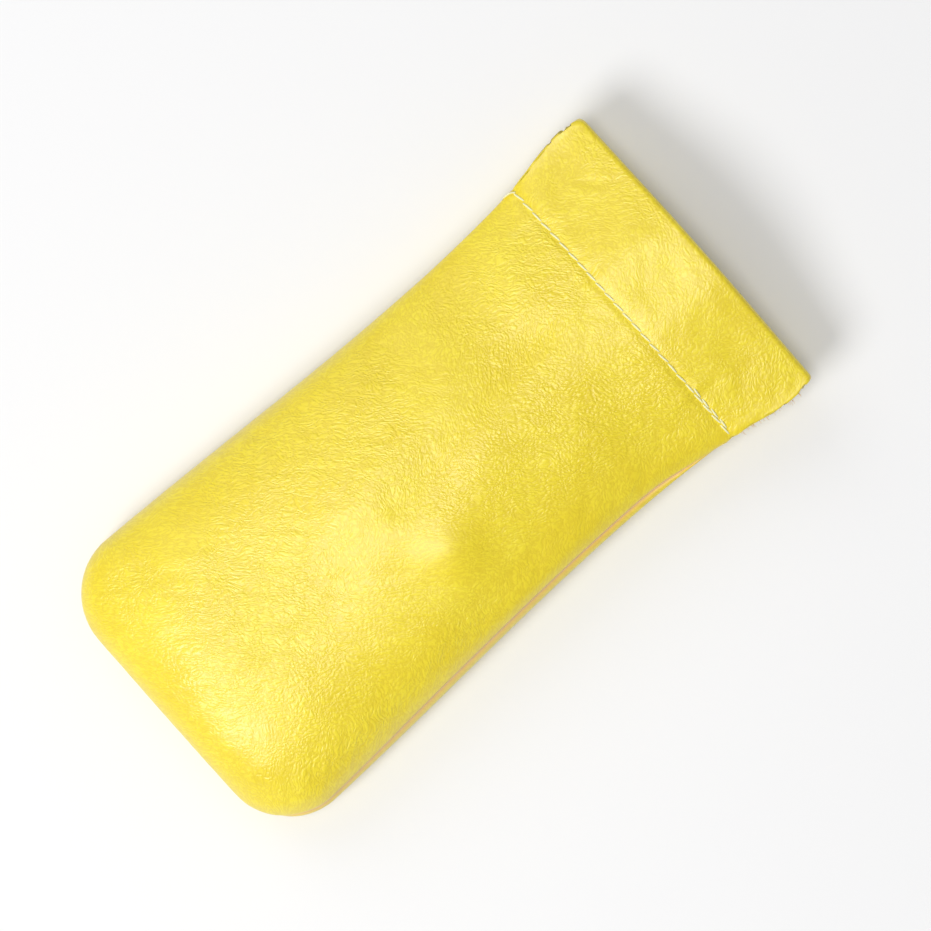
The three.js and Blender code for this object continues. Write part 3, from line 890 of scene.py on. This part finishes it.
def thread_material(name, colour, shade):
    """Twisted thread: fine slanting plies."""
    nodes = Nodes(name)
    place = nodes.vector_math("MULTIPLY", nodes.object_place(), [1 / MM] * 3)
    turned = nodes.turned(place, (0.4, 0, math.radians(40)))
    wave = nodes.add("ShaderNodeTexWave", {"Vector": turned, "Scale": 1.1, "Distortion": 0.6})
    plies = wave.outputs["Fac"]
    tone = nodes.blend_colour(plies, shade, colour)
    nodes.link(Base_Color=tone, Normal=nodes.bump(plies, 0.5, 0.0001))
    nodes.set(Roughness=0.7, Sheen_Weight=0.2)
    return nodes.material


def steel_material(name):
    """Rolled spring steel: fine scratches along the strip, a few darker heat marks."""
    nodes = Nodes(name)
    place = nodes.object_place()
    scratch = nodes.noise(nodes.stretched(place, 0, (60, 4200, 4200)), 3.0, 0.6)
    marks = nodes.noise(nodes.stretched(place, 0, (90, 90, 90)))
    tone = nodes.blend_colour(nodes.ramp(marks, 0.4, 0.7), (0.42, 0.42, 0.44, 1),
                              (0.66, 0.66, 0.67, 1))
    nodes.link(Base_Color=tone, Roughness=nodes.ramp(scratch, -0.6, 1.9),
               Normal=nodes.bump(scratch, 0.25, 0.00003))
    nodes.set(Metallic=1.0)
    return nodes.material


# ---- Camera ------------------------------------------------------------------------------

CAMERA_DISTANCE = 1.15
FRAME_WIDTH = 0.2374                     # width of the view at the height of the seam
CAMERA_TARGET = Vector((0.0025, 0.0098, 0.012))
VIEW_TURN = math.radians(41.61)          # up from the picture's right to the way the mouth points


def make_camera():
    """A camera that looks straight down, as the photograph's does."""
    data = bpy.data.cameras.new("camera")
    data.lens = data.sensor_width * CAMERA_DISTANCE / FRAME_WIDTH
    data.clip_start, data.clip_end = 0.05, 20
    camera = bpy.data.objects.new("camera", data)
    bpy.context.scene.collection.objects.link(camera)
    camera.location = CAMERA_TARGET + Vector((0, 0, CAMERA_DISTANCE))
    camera.rotation_euler = (0, 0, math.radians(90) - VIEW_TURN)
    bpy.context.scene.camera = camera


make_camera()

# ---- Build -------------------------------------------------------------------------------

leather = leather_material("yellow_leather")
flesh = fibrous_material("leather_flesh_side", pale=(0.72, 0.60, 0.30, 1),
                         deep=(0.50, 0.38, 0.16, 1), scale=1500)
cut_edge = fibrous_material("leather_cut_edge", pale=(0.80, 0.58, 0.22, 1),
                            deep=(0.42, 0.20, 0.10, 1), scale=2600)
suede = fibrous_material("suede_lining", pale=(0.66, 0.54, 0.33, 1),
                         deep=(0.46, 0.36, 0.20, 1), scale=1800)
cream = thread_material("cream_thread", colour=(0.98, 0.96, 0.62, 1),
                        shade=(0.88, 0.85, 0.42, 1))
tan = thread_material("tan_thread", colour=(0.92, 0.62, 0.34, 1), shade=(0.74, 0.46, 0.22, 1))
steel = steel_material("spring_steel")

FOLD_Y = 0.0                # between this line and the closed end the panels keep still
STILL_X = PIN_X - 2.3       # beyond this line, towards the pins, they keep still too


def blend_with_mouth(piece, body):
    """The piece follows the middle of the mouth, less and less towards the two hinge pins.

    That share is multiplied by the arch."""
    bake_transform(piece, "root", body, start=(0, FOLD_Y * MM, 0), end=(0, STITCH_Y * MM, 0))
    count = len(piece.data.vertices)
    places = np.zeros(count * 3, np.float32)
    piece.data.vertices.foreach_get("co", places)
    shares = np.zeros(count, np.float32)
    attribute = piece.data.attributes["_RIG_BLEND"]
    attribute.data.foreach_get("value", shares)
    across = arch(places.reshape(-1, 3)[:, 0] / MM, STILL_X)
    attribute.data.foreach_set("value", (shares * across).astype(np.float32))


for face_name, face, seed in (("front", 1, 11), ("back", -1, 61)):
    body = f"{face_name}_mouth"
    sheet, surface = make_leather(f"{face_name}_leather", face, seed)
    for material in (leather, flesh, cut_edge):
        sheet.data.materials.append(material)
    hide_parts(f"{face_name}_panel", f"{face_name}_hem_left",
                f"{face_name}_hem_middle", f"{face_name}_hem_right")
    blend_with_mouth(sheet, body)

    lining = make_lining(f"{face_name}_suede", face, seed)
    for material in (suede, suede, suede):
        lining.data.materials.append(material)
    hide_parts(f"{face_name}_lining")
    blend_with_mouth(lining, body)

    stitches = make_topstitch(f"{face_name}_stitches", surface, face, seed + 30)
    stitches.data.materials.append(cream)
    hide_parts(f"{face_name}_topstitch")
    blend_with_mouth(stitches, body)
    if face > 0:
        fibres = make_frayed_edge(surface, seed + 40)
        fibres.data.materials.append(tan)
        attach(fibres, "root")


def seam_path():
    """The seam's line: down the right side, along the closed end and up the left side."""
    down = panel_rows(CLOSED_END, PANEL_RIM - 3, 90)[::-1]
    across = np.linspace(1, -1, 60)
    u = np.concatenate([np.ones(len(down)), across, -np.ones(len(down))])
    y = np.concatenate([down, np.full(len(across), CLOSED_END), down[::-1]])
    points, _ = skin(u[None, :], y[None, :], 1, SEAM_THREAD_INSET)
    points[..., 2] -= SEAM_HALF_GAP
    path = [points[0, 0]]
    for point in points[0]:
        if np.linalg.norm(point - path[-1]) > SEAM_THREAD_STEP:
            path.append(point)
    return np.array(path)


def make_seam_thread():
    """The thread of the turned seam, lying in the groove between the two panels."""
    path = seam_path()
    return joined_tubes("seam_stitches", [tube(path, np.full(len(path), SEAM_THREAD_RADIUS))])


seam = make_seam_thread()
seam.data.materials.append(tan)
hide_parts("seam_thread")
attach(seam, "root")

for name, node in frame["nodes"].items():
    if "strip" in name or "pin" in name:
        node.material_slots[0].material = steel


# ---- Floor and light ---------------------------------------------------------------------


def make_floor():
    """A plain pale floor, matt like paper."""
    mesh = bpy.data.meshes.new("floor")
    half = 3.0
    mesh.from_pydata([(-half, -half, 0), (half, -half, 0), (half, half, 0), (-half, half, 0)],
                     [], [(0, 1, 2, 3)])
    floor = bpy.data.objects.new("floor", mesh)
    bpy.context.scene.collection.objects.link(floor)
    nodes = Nodes("paper")
    nodes.set(Base_Color=(0.90, 0.90, 0.905, 1), Roughness=0.9, Specular_IOR_Level=0.1)
    floor.data.materials.append(nodes.material)


def make_light(name, place, size, power):
    """A round soft light that points at the middle of the floor."""
    data = bpy.data.lights.new(name, "AREA")
    data.shape = "DISK"
    data.size = size
    data.energy = power
    light = bpy.data.objects.new(name, data)
    bpy.context.scene.collection.objects.link(light)
    light.location = place
    light.rotation_euler = (-Vector(place)).to_track_quat("-Z", "Y").to_euler()


make_floor()
make_light("key", place=(0.05, -1.2, 1.45), size=0.8, power=18.6)
make_light("top", place=(-0.03, -0.12, 1.8), size=0.5, power=9.8)
make_light("fill", place=(-1.2, 0.0, 1.1), size=1.2, power=4)

world = bpy.data.worlds.new("studio")
world.use_nodes = True
background = world.node_tree.nodes["Background"]
background.inputs["Color"].default_value = (1, 1, 1, 1)
background.inputs["Strength"].default_value = 0.28
bpy.context.scene.world = world
bpy.context.scene.view_settings.view_transform = "Standard"
